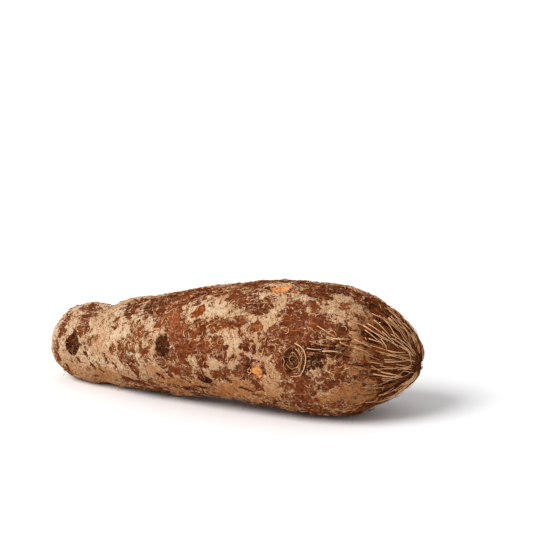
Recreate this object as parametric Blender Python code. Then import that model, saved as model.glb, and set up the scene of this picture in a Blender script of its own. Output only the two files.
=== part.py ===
"""A purple malanga: one whole tuber of the cocoyam family, as dug, lying on a level surface.

Metres, +Z up. The thin root end points to -X and the crown, where the leaves grew, to +X. The origin is
on the surface, under the middle of the tuber's box. The tuber bows towards -Y in plan, and it touches the
surface on two small flats, one under the root end and one under the thickest part.
"""

import math
import random

import bmesh
import bpy
import numpy as np
from mathutils import Vector, noise

MM = 0.001

# The tuber's outline in millimetres. Each station is a distance from the root tip, with the height of the
# top and of the underside there, half the width, and how far the middle is set over to the far side.
OUTLINE = (
    (0.0, 19.0, 16.0, 0.0, 7.0),
    (4.0, 30.0, 7.5, 12.0, 6.5),
    (12.0, 38.0, 2.6, 18.0, 5.0),
    (22.0, 42.0, -0.2, 21.3, 3.5),
    (33.0, 42.8, -0.9, 22.5, 2.0),
    (40.0, 43.4, -0.4, 22.8, 1.0),
    (48.0, 47.4, 0.2, 24.6, 0.0),
    (62.0, 50.6, 0.6, 26.5, -1.0),
    (84.0, 56.0, 1.2, 29.0, -2.5),
    (112.0, 62.8, 2.2, 32.0, -3.0),
    (140.0, 67.0, 1.4, 34.0, -2.5),
    (160.0, 68.4, -0.7, 35.2, -1.0),
    (176.0, 68.0, -1.0, 35.0, 1.0),
    (190.0, 63.4, 1.4, 33.0, 4.0),
    (201.0, 55.6, 8.0, 27.6, 8.0),
    (209.0, 46.0, 13.6, 20.8, 12.0),
    (213.5, 37.6, 18.6, 13.0, 15.5),
    (216.0, 29.0, 26.0, 0.0, 19.0),
)
STATIONS = np.array([row[0] for row in OUTLINE])
SHAPE = np.array([row[1:] for row in OUTLINE])
SLOPES = np.gradient(SHAPE, STATIONS, axis=0)
ROOT_TIP, CROWN_TIP = OUTLINE[0][0], OUTLINE[-1][0]

# The grid of the skin: stretches along the tuber, and faces round it. The stretches are shorter by these
# factors at the two ends and at the leaf rings, each over its length in millimetres.
STRETCHES = 56
FACES_ROUND = 64
END_CROWDING = 1.6
ROOT_CROWDED = 7.0
CROWN_CROWDED = 14.0
RING_CROWDING = 1.5
RING_CROWDED = 5.0

# Low swellings of the flesh, each with its height and its length: broad ones, and knobs on them.
SWELLINGS = ((1.0, 27.0), (0.45, 9.0))

# Length over which the relief dies out towards either tip.
END_FADE = 6.0

# Leaf scars that ring the tuber: distance from the root tip, and depth of the groove. The lip beside a
# groove stands on its crown side, so many widths away, and its height is a share of the depth. A groove
# wavers and changes its depth over the two lengths given.
LEAF_RINGS = (
    (10.0, 0.4),
    (23.0, 0.3),
    (41.5, 0.5),
    (66.0, 0.4),
    (98.0, 0.5),
    (124.0, 0.3),
    (151.0, 0.5),
    (184.0, 0.6),
)
RING_WIDTH = 3.0
LIP_AWAY = 1.8
LIP_SHARE = 0.7
RING_WAVER = 5.0
WAVER_LENGTH = 21.0
MEAN_STRENGTH = 0.9
STRENGTH_CHANGE = 1.3
STRENGTH_LENGTH = 23.0

# Scars of roots and side shoots: distance from the root tip, angle round the tuber in degrees (0 is the far
# side, 90 the top, 180 the near side), radius, and height of the rim that is left round the sunken middle.
# The depth of the middle is a share of the rim's height, and the widths and reaches are shares of the radius.
ROOT_SCARS = (
    (27.7, 173.0, 4.2, 0.7),
    (92.0, 174.0, 4.4, 0.6),
    (117.2, 207.0, 3.2, 0.5),
    (116.3, 157.0, 3.0, 0.4),
    (169.5, 177.0, 6.8, 1.0),
    (199.0, 112.0, 5.0, 0.7),
    (58.0, 72.0, 4.0, 0.6),
    (88.0, 20.0, 4.6, 0.7),
    (132.0, 48.0, 3.6, 0.5),
    (148.0, 335.0, 5.0, 0.8),
    (174.0, 12.0, 4.2, 0.6),
    (36.0, 318.0, 3.8, 0.5),
)
SCAR_REACH = 1.9
SCAR_DEPTH = 1.2
RIM_WIDTH = 0.35
HOLLOW_WIDTH = 0.85
FINE_REACH = 1.3

# Uneven ribs of old leaf bases that run together at the crown. They bend by so many radians round the tuber
# and their heights change between them, both over this length along it.
RIB_COUNT = 13
RIB_HEIGHT = 1.0
RIB_START = 182.0
RIB_FADE = 14.0
RIB_BEND = 4.0
RIB_LENGTH = 15.0
BEND_ROUND = 3.0
MEAN_RIB = 0.6
RIB_CHANGE = 0.8

# Fibres of the old leaf bases. Each leaves the skin on the crown and lies over it towards the tip, where
# most are rooted again and some end free. The shares are of a fibre's length: the part over which it rises
# out of the skin, and where it starts to sink back.
FIBRE_COUNT = 34
FIBRE_START = (180.0, 202.0)
FIBRE_END = (209.5, 214.0)
FIBRE_RADII = (0.7, 0.4)
FIBRE_POINTS = 6
FIBRE_SIDES = 3
ROOT_DEPTH = 1.0
FIBRE_LIFT = 1.2
FREE_LIFT = 1.8
FREE_SHARE = 0.35
RISING_SHARE = 0.4
SINKING_FROM = 0.7
TURN_SPREAD = 0.16
GROUND_GAP = 0.3
SEED = 11

PEEL_COLOUR = (0.32, 0.19, 0.10, 1.0)
PEEL_ROUGHNESS = 0.85
FIBRE_COLOUR = (0.45, 0.29, 0.15, 1.0)
FIBRE_ROUGHNESS = 0.8
SHARP_DEGREES = 50.0


def smooth(value):
    """0 below 0, 1 above 1, and a smooth step between."""
    held = min(1.0, max(0.0, value))
    return held * held * (3.0 - 2.0 * held)


def section(station):
    """(middle, half width, half height) of the cross-section, on a smooth curve through the stations."""
    i = int(np.clip(np.searchsorted(STATIONS, station) - 1, 0, len(STATIONS) - 2))
    step = STATIONS[i + 1] - STATIONS[i]
    t = (station - STATIONS[i]) / step
    top, under, half_width, aside = (
        (2 * t**3 - 3 * t**2 + 1) * SHAPE[i]
        + (t**3 - 2 * t**2 + t) * step * SLOPES[i]
        + (3 * t**2 - 2 * t**3) * SHAPE[i + 1]
        + (t**3 - t**2) * step * SLOPES[i + 1]
    )
    middle = Vector((station, aside, (top + under) / 2))
    return middle, max(0.0, half_width), max(0.0, (top - under) / 2)


def plain_point(station, angle):
    """A point of the plain outline, without its relief, in millimetres."""
    middle, half_width, half_height = section(station)
    return middle + Vector((0.0, half_width * math.cos(angle), half_height * math.sin(angle)))


SCAR_CENTRES = [plain_point(scar[0], math.radians(scar[1])) for scar in ROOT_SCARS]


def outward_at(station, angle):
    """The direction straight out of the plain outline."""
    ahead = plain_point(min(station + 0.5, CROWN_TIP), angle)
    behind = plain_point(max(station - 0.5, ROOT_TIP), angle)
    half_width, half_height = (max(half, 0.01) for half in section(station)[1:])
    round_it = Vector((0.0, -half_width * math.sin(angle), half_height * math.cos(angle)))
    return round_it.cross(ahead - behind).normalized()


def ring_relief(station, point):
    """Each leaf ring is a wavering groove with a low step on its crown side, deeper in some places."""
    height = 0.0
    for place, depth in LEAF_RINGS:
        away = (station - place + RING_WAVER * noise.noise(point / WAVER_LENGTH)) / RING_WIDTH
        change = noise.noise(point / STRENGTH_LENGTH + Vector((place, 0.0, 0.0)))
        lip = LIP_SHARE * math.exp(-((away - LIP_AWAY) ** 2))
        height += depth * (MEAN_STRENGTH + STRENGTH_CHANGE * change) * (lip - math.exp(-away * away))
    return height


def scar_relief(point):
    """A raised rim round a sunken middle at each root scar."""
    height = 0.0
    for centre, (_, _, radius, rim) in zip(SCAR_CENTRES, ROOT_SCARS):
        away = (point - centre).length / radius
        if away < SCAR_REACH:
            height += rim * math.exp(-(((away - 1.0) / RIM_WIDTH) ** 2))
            height -= SCAR_DEPTH * rim * (1.0 - smooth(away / HOLLOW_WIDTH))
    return height


def rib_relief(station, angle):
    """Ribs at the crown, which deepen towards its tip and die out on it."""
    share = smooth((station - RIB_START) / RIB_FADE) * smooth((CROWN_TIP - station) / END_FADE)
    place = Vector((BEND_ROUND * math.cos(angle), BEND_ROUND * math.sin(angle), station / RIB_LENGTH))
    wave = math.sin(RIB_COUNT * angle + RIB_BEND * noise.noise(place))
    return RIB_HEIGHT * share * wave * (MEAN_RIB + RIB_CHANGE * noise.noise(2.0 * place))


def skin_point(station, angle):
    """A point of the tuber's skin, in millimetres. None is lower than the surface that the tuber lies on."""
    point = plain_point(station, angle)
    ends = smooth((station - ROOT_TIP) / END_FADE) * smooth((CROWN_TIP - station) / END_FADE)
    height = ring_relief(station, point)
    for rise, length in SWELLINGS:
        height += rise * noise.noise(point / length)
    height = ends * height + scar_relief(point) + rib_relief(station, angle)
    point += outward_at(station, angle) * height
    point.z = max(0.0, point.z)
    return point


def grid_stations():
    """Distances from the root tip of the grid's rings, closer together at the ends and the leaf rings."""
    places = np.linspace(ROOT_TIP, CROWN_TIP, 2001)
    near_ends = np.exp(-(places - ROOT_TIP) / ROOT_CROWDED) + np.exp(-(CROWN_TIP - places) / CROWN_CROWDED)
    density = 1.0 + END_CROWDING * near_ends
    for place, _ in LEAF_RINGS:
        density += RING_CROWDING * np.exp(-(((places - place) / RING_CROWDED) ** 2))
    count = np.concatenate(([0.0], np.cumsum((density[1:] + density[:-1]) / 2)))
    return np.interp(np.linspace(0.0, 1.0, STRETCHES + 1), count / count[-1], places)


def turned_blank():
    """A plain turned spindle with its axis on X, whose grid the skin is drawn on."""
    mesh = bmesh.new()
    profile = []
    for station in grid_stations():
        radius = math.sqrt(max(0.0, station * (CROWN_TIP - station)))
        profile.append(mesh.verts.new((station, 0.0, radius)))
    edges = [mesh.edges.new(pair) for pair in zip(profile, profile[1:])]
    bmesh.ops.spin(
        mesh,
        geom=profile + edges,
        axis=(1.0, 0.0, 0.0),
        cent=(0.0, 0.0, 0.0),
        steps=FACES_ROUND,
        angle=2 * math.pi,
        use_merge=True,
    )
    bmesh.ops.remove_doubles(mesh, verts=mesh.verts[:], dist=1e-4)
    return mesh


def split_at_scars(mesh):
    """Halves the grid's edges at each root scar, so that its rim and its middle have faces to show on."""
    near = []
    for edge in mesh.edges:
        middle = (edge.verts[0].co + edge.verts[1].co) / 2
        point = plain_point(middle.x, math.atan2(middle.z, middle.y))
        for centre, scar in zip(SCAR_CENTRES, ROOT_SCARS):
            if (point - centre).length < FINE_REACH * scar[2]:
                near.append(edge)
                break
    bmesh.ops.subdivide_edges(mesh, edges=near, cuts=1, use_grid_fill=True)


def tuber_mesh():
    """The tuber without its fibres, as a closed mesh in millimetres."""
    mesh = turned_blank()
    split_at_scars(mesh)
    for vert in mesh.verts:
        station = min(CROWN_TIP, max(ROOT_TIP, vert.co.x))
        vert.co = skin_point(station, math.atan2(vert.co.z, vert.co.y))
    bmesh.ops.recalc_face_normals(mesh, faces=mesh.faces[:])
    bmesh.ops.triangulate(mesh, faces=mesh.faces[:])
    return mesh


def fibre_path(number, draw):
    """Points of one fibre, in millimetres. Its root is sunk in the skin, and the rest stands just clear."""
    start = draw.uniform(*FIBRE_START)
    end = draw.uniform(*FIBRE_END)
    angle = 2 * math.pi * (number + draw.random()) / FIBRE_COUNT
    turn = draw.gauss(0.0, TURN_SPREAD)
    free = draw.random() < FREE_SHARE
    points = []
    for i in range(FIBRE_POINTS):
        share = i / (FIBRE_POINTS - 1)
        station = start + (end - start) * math.sin(share * math.pi / 2)
        bearing = angle + turn * share * share
        risen = smooth(share / RISING_SHARE)
        lift = FIBRE_LIFT * risen - ROOT_DEPTH * (1.0 - risen)
        if free:
            lift += (FREE_LIFT - FIBRE_LIFT) * share * share
        else:
            lift -= (FIBRE_LIFT + ROOT_DEPTH) * smooth((share - SINKING_FROM) / (1.0 - SINKING_FROM))
        point = skin_point(station, bearing) + outward_at(station, bearing) * lift
        point.z = max(FIBRE_RADII[0] + GROUND_GAP, point.z)
        points.append(point)
    return points


def fibre_mesh(points):
    """One tapered fibre along these points, closed at both ends."""
    mesh = bmesh.new()
    last = len(points) - 1
    rings = []
    for i, point in enumerate(points):
        heading = points[min(i + 1, last)] - points[max(i - 1, 0)]
        across = heading.cross(Vector((0.0, 0.0, 1.0))).normalized()
        upward = across.cross(heading).normalized()
        radius = FIBRE_RADII[0] + (FIBRE_RADII[1] - FIBRE_RADII[0]) * i / last
        ring = []
        for side in range(FIBRE_SIDES):
            angle = 2 * math.pi * side / FIBRE_SIDES
            outward = across * math.cos(angle) + upward * math.sin(angle)
            ring.append(mesh.verts.new(point + radius * outward))
        rings.append(ring)
    for one, two in zip(rings, rings[1:]):
        for side in range(FIBRE_SIDES):
            after = (side + 1) % FIBRE_SIDES
            mesh.faces.new((one[side], one[after], two[after], two[side]))
    mesh.faces.new(rings[0])
    mesh.faces.new(rings[-1])
    bmesh.ops.recalc_face_normals(mesh, faces=mesh.faces[:])
    bmesh.ops.triangulate(mesh, faces=mesh.faces[:])
    return mesh


def dry_finish(name, colour, roughness):
    """A dry, matt material."""
    material = bpy.data.materials.new(name)
    material.use_nodes = True
    shader = material.node_tree.nodes["Principled BSDF"]
    shader.inputs["Base Color"].default_value = colour
    shader.inputs["Roughness"].default_value = roughness
    shader.inputs["Metallic"].default_value = 0.0
    return material


def object_from(mesh, name, material, collection):
    """An object in metres from a mesh in millimetres."""
    bmesh.ops.scale(mesh, vec=(MM, MM, MM), verts=mesh.verts[:])
    data = bpy.data.meshes.new(name)
    mesh.to_mesh(data)
    mesh.free()
    data.materials.append(material)
    made = bpy.data.objects.new(name, data)
    collection.objects.link(made)
    return made


def join_fibres(tuber, fibres):
    """Joins every fibre of the collection to the tuber by one union, and removes the loose ones."""
    union = tuber.modifiers.new("fibres", "BOOLEAN")
    union.operation = "UNION"
    union.operand_type = "COLLECTION"
    union.collection = fibres
    union.solver = "MANIFOLD"
    bpy.context.view_layer.update()
    evaluated = tuber.evaluated_get(bpy.context.evaluated_depsgraph_get())
    joined = bpy.data.meshes.new_from_object(evaluated)
    tuber.modifiers.remove(union)
    tuber.data = joined
    for loose in list(fibres.objects):
        bpy.data.objects.remove(loose)
    bpy.data.collections.remove(fibres)


def keep_outer_skin(tuber):
    """Splits every face into triangles, and removes every shell but the largest.

    The small shells are hollows that crossing fibres seal off, and loose scraps.
    """
    mesh = bmesh.new()
    mesh.from_mesh(tuber.data)
    bmesh.ops.triangulate(mesh, faces=mesh.faces[:])
    unseen = set(mesh.faces)
    shells = []
    while unseen:
        shell = [unseen.pop()]
        for face in shell:
            for edge in face.edges:
                beside = [other for other in edge.link_faces if other in unseen]
                unseen.difference_update(beside)
                shell.extend(beside)
        shells.append(shell)
    shells.sort(key=len)
    for shell in shells[:-1]:
        bmesh.ops.delete(mesh, geom=shell, context="FACES")
    mesh.to_mesh(tuber.data)
    mesh.free()


def centre_on_origin(tuber):
    """Sets the middle of the tuber's box over the origin, in plan."""
    corners = np.array([vert.co for vert in tuber.data.vertices])
    middle = (corners.min(axis=0) + corners.max(axis=0)) / 2
    for vert in tuber.data.vertices:
        vert.co.x -= middle[0]
        vert.co.y -= middle[1]


def main():
    for old in list(bpy.data.objects):
        bpy.data.objects.remove(old)
    whole = bpy.context.scene.collection
    fibres = bpy.data.collections.new("fibres")
    whole.children.link(fibres)

    peel = dry_finish("dry corky peel", PEEL_COLOUR, PEEL_ROUGHNESS)
    tuber = object_from(tuber_mesh(), "tuber", peel, whole)
    straw = dry_finish("dry leaf fibre", FIBRE_COLOUR, FIBRE_ROUGHNESS)
    draw = random.Random(SEED)
    for number in range(FIBRE_COUNT):
        object_from(fibre_mesh(fibre_path(number, draw)), f"fibre_{number}", straw, fibres)
    join_fibres(tuber, fibres)
    keep_outer_skin(tuber)
    centre_on_origin(tuber)
    tuber.data.shade_smooth()
    tuber.data.set_sharp_from_angle(angle=math.radians(SHARP_DEGREES))


main()
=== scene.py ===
"""The looks of one whole purple malanga tuber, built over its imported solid.

The script works in millimetres, and turns each mesh to metres when it makes the piece. A place on the tuber
is a distance along it from the root tip and an angle round it in degrees: 0 is the far side, 90 the top,
180 the near side and 270 the underside.
"""

import math
import random

import bmesh
import bpy
import numpy as np
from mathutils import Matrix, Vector, noise
from mathutils.bvhtree import BVHTree


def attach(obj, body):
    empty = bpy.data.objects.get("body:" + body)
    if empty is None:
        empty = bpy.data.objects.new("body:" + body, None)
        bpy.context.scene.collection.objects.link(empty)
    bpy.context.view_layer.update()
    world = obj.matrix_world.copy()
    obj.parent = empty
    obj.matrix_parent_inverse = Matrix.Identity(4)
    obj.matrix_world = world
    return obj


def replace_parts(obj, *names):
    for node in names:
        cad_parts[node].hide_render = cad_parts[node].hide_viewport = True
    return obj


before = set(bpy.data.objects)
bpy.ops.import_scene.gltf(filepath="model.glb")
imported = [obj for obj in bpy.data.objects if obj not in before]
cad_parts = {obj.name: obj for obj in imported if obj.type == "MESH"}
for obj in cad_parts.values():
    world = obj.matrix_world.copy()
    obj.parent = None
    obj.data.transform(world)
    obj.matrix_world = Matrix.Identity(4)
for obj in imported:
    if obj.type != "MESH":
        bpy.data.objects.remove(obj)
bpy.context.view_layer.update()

# The camera. It looks down a little on the near side, from the root end's side of square on, through a
# long lens that shows the tuber with almost no foreshortening.
MM = 0.001
CAMERA_AIM = Vector((24.2, 7.75, 72.4)) * MM
CAMERA_TURN, CAMERA_RISE = math.radians(27.0), math.radians(11.0)
CAMERA_AWAY, CAMERA_LENS = 0.9, 115.5

level = math.cos(CAMERA_RISE)
backwards = Vector((math.sin(CAMERA_TURN) * level, -math.cos(CAMERA_TURN) * level, math.sin(CAMERA_RISE)))
camera = bpy.data.objects.new("camera", bpy.data.cameras.new("camera"))
camera.data.lens = CAMERA_LENS
camera.data.clip_end = 100.0
camera.location = CAMERA_AIM + backwards * CAMERA_AWAY
camera.rotation_euler = backwards.to_track_quat("Z", "Y").to_euler()
bpy.context.scene.collection.objects.link(camera)
bpy.context.scene.camera = camera

# The skin. The tuber's flesh is covered by a thin corky bark that splits and flakes as it dries, and shows
# the smooth brown skin under it. It is one grown surface, so it is one mesh, from the root tip to the crown.
# Its rings are cast from the middle line to the solid, in rays that fan out at the two ends.
ROOT_X = -108.0
MIDDLE_LINE = np.array([  # along, aside, height, half width, half height
    (0, 7, 17.5, 1, 1),
    (4, 6.5, 18.7, 12, 11.2),
    (12, 5, 20.3, 18, 17.7),
    (22, 3.5, 20.9, 21.3, 21.1),
    (40, 1, 21.3, 22.8, 21.7),
    (62, -1, 25.6, 26.5, 25),
    (84, -2.5, 28.6, 29, 27.4),
    (112, -3, 32.5, 32, 30.3),
    (140, -2.5, 34.2, 34, 32.8),
    (160, -1, 33.9, 35.2, 34.5),
    (176, 1, 33.5, 35, 34.5),
    (190, 4, 32.4, 33, 31),
    (201, 8, 31.8, 27.6, 23.8),
    (209, 12, 29.8, 20.8, 16.2),
    (213.5, 15.5, 28.1, 13, 9.5),
    (216, 19, 27.5, 8, 6),
])
LENGTH = 216.0
RINGS, ROUND = 340, 280
FAN_ROOT, FAN_CROWN, CAP_ROOT, CAP_CROWN = 20.0, 190.0, 30.0, 42.0
CLEARED_FROM, CLEARED_REACH = 176.0, 1.8
SMOOTHING = 14

solid = bmesh.new()
solid.from_mesh(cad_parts["tuber"].data)
bmesh.ops.scale(solid, vec=(1 / MM,) * 3, verts=solid.verts[:])
bmesh.ops.remove_doubles(solid, verts=solid.verts[:], dist=1e-3)
solid_surface = BVHTree.FromBMesh(solid)
solid.free()


def smooth(values):
    """0 below 0, 1 above 1, and a smooth step between."""
    held = np.clip(values, 0.0, 1.0)
    return held * held * (3.0 - 2.0 * held)


def middle(along):
    """The point of the tuber's middle line at this distance from the root tip."""
    aside, height = (np.interp(along, MIDDLE_LINE[:, 0], MIDDLE_LINE[:, i]) for i in (1, 2))
    return Vector((ROOT_X + along, aside, height))


def ray(share, bearing):
    """Start and direction of a ray from the middle line to the skin. The rays fan out at the two ends."""
    place = FAN_ROOT - CAP_ROOT + share * (CAP_ROOT + FAN_CROWN - FAN_ROOT + CAP_CROWN)
    start = middle(min(max(place, FAN_ROOT), FAN_CROWN))
    across = Vector((0.0, math.cos(bearing), math.sin(bearing)))
    if place < FAN_ROOT:
        turn, tip = (FAN_ROOT - place) / CAP_ROOT, middle(0.0)
    else:
        turn, tip = max(0.0, place - FAN_CROWN) / CAP_CROWN, middle(LENGTH)
    turn *= math.pi / 2
    return start, (across * math.cos(turn) + (tip - start).normalized() * math.sin(turn)).normalized()


def cast_grid(shares, count):
    """Starts, directions and lengths of the rays at these shares, with so many of them round each ring."""
    starts, ways, lengths = [], [], []
    for share in shares:
        for step in range(count):
            start, way = ray(share, 2 * math.pi * step / count)
            hit = solid_surface.ray_cast(start, way)
            starts.append(start)
            ways.append(way)
            lengths.append(hit[3])
    shape = (len(shares), count)
    return np.reshape(starts, (*shape, 3)), np.reshape(ways, (*shape, 3)), np.reshape(lengths, shape)


def even_shares():
    """Shares that set the rings the same distance apart on the skin."""
    rough = np.linspace(0.0, 1.0, 161)
    starts, ways, lengths = cast_grid(rough, 24)
    points = starts + ways * lengths[..., None]
    steps = np.linalg.norm(np.diff(points, axis=0), axis=2).mean(axis=1)
    gone = np.concatenate(([0.0], np.cumsum(steps)))
    return np.interp(np.linspace(0.0, gone[-1], RINGS + 1), gone, rough)


def without_fibres(points, lengths):
    """Takes the solid's fused fibres off the crown: narrow ridges go, and the rest stays."""
    for row in range(1, RINGS):
        if points[row, :, 0].mean() < ROOT_X + CLEARED_FROM:
            continue
        step = np.linalg.norm(points[row] - np.roll(points[row], 1, axis=0), axis=1).mean()
        reach = min(30, max(1, math.ceil(CLEARED_REACH / step)))
        shifts = range(-reach, reach + 1)
        lowest = np.min([np.roll(lengths[row], shift) for shift in shifts], axis=0)
        lengths[row] = np.max([np.roll(lowest, shift) for shift in shifts], axis=0)
    return lengths


def smoothed_grid(values, passes):
    """The grid's values, averaged with their neighbours. The rings close on themselves and the ends don't."""
    for _ in range(passes):
        values = (np.roll(values, 1, axis=1) + 2 * values + np.roll(values, -1, axis=1)) / 4
        ahead = np.concatenate((values[1:], values[-1:]))
        behind = np.concatenate((values[:1], values[:-1]))
        values = (ahead + 2 * values + behind) / 4
    return values


starts, ways, lengths = cast_grid(even_shares(), ROUND)
lengths = without_fibres(starts + ways * lengths[..., None], lengths)
skin = starts + ways * smoothed_grid(lengths, SMOOTHING)[..., None]
skin[0], skin[-1] = skin[0].mean(axis=0), skin[-1].mean(axis=0)


def outwards(points):
    """The direction out of the grid at each of its points."""
    on_round = np.roll(points, -1, axis=1) - np.roll(points, 1, axis=1)
    on_along = np.concatenate((points[1:], points[-1:])) - np.concatenate((points[:1], points[:-1]))
    out = np.cross(on_along, on_round)
    out[0], out[-1] = (-1.0, 0.0, 0.0), (1.0, 0.0, 0.0)
    out /= np.maximum(np.linalg.norm(out, axis=2, keepdims=True), 1e-9)
    return out * np.sign((out * ways).sum(axis=2, keepdims=True))


out = outwards(skin)
along = skin[..., 0] - ROOT_X
bearing = np.broadcast_to(np.arange(ROUND) * 2 * math.pi / ROUND, along.shape)
degrees = np.degrees(bearing)
unrolled = np.stack((along, 30.0 * np.cos(bearing), 30.0 * np.sin(bearing)), axis=2)


def noise_on(points, size, shift=0.0):
    """Smooth noise from about -1 to 1 over the grid, with blots of this size in millimetres."""
    places = (points / np.array(size) + shift).reshape(-1, 3).tolist()
    return np.fromiter(map(noise.noise, places), float, len(places)).reshape(points.shape[:2])


def surface_of(points):
    """A search tree of the grid's faces."""
    rows, count = points.shape[:2]
    corners = np.arange(rows * count).reshape(rows, count)
    beside = np.roll(corners, -1, axis=1)
    faces = np.stack((corners[:-1], corners[1:], beside[1:], beside[:-1]), axis=2).reshape(-1, 4)
    return BVHTree.FromPolygons(points.reshape(-1, 3).tolist(), faces.tolist())


smooth_surface = surface_of(skin)

# The patches' outlines wander by this much over these lengths, so that none of them is a plain ellipse. Each
# table of patches gives a place, along the tuber and round it, with a half length, half width and lean.
WANDER = ((2.4, 8.0), (1.5, 3.2))
wandered = skin.copy()
for reach, length in WANDER:
    shifts = [noise_on(skin, length, 20.0 + 7.0 * i) for i in range(3)]
    wandered += reach * np.stack(shifts, axis=2)


def place_on(surface, along_mm, angle):
    """(point, way out, way along, way round) on the surface, at a distance from the root tip and an angle."""
    half = [np.interp(along_mm, MIDDLE_LINE[:, 0], MIDDLE_LINE[:, i]) for i in (3, 4)]
    turn = math.radians(angle)
    way = Vector((0.0, half[0] * math.cos(turn), half[1] * math.sin(turn))).normalized()
    point, normal, _, _ = surface.ray_cast(middle(along_mm), way)
    normal = normal if normal.dot(way) > 0 else -normal
    onward = (Vector((1.0, 0.0, 0.0)) - normal * normal.x).normalized()
    return point, normal, onward, onward.cross(normal)


def patch_reach(along_mm, angle, half_length, half_width, lean, points=wandered):
    """For each point of the grid, how far it is from a patch's middle, with its edge at 1, and its bearing.

    The lean turns the patch's length from along the tuber towards round it, in degrees.
    """
    point, normal, onward, round_it = place_on(smooth_surface, along_mm, angle)
    turn = math.radians(lean)
    length_way = np.array(onward) * math.cos(turn) - np.array(round_it) * math.sin(turn)
    width_way = np.cross(np.array(normal), length_way)
    away = points - np.array(point)
    u, v, w = away @ length_way / half_length, away @ width_way / half_width, away @ np.array(normal)
    reach = np.sqrt(u * u + v * v) + np.where(np.abs(w) > 14.0, 10.0, 0.0)
    return reach, np.arctan2(v, u)


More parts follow.
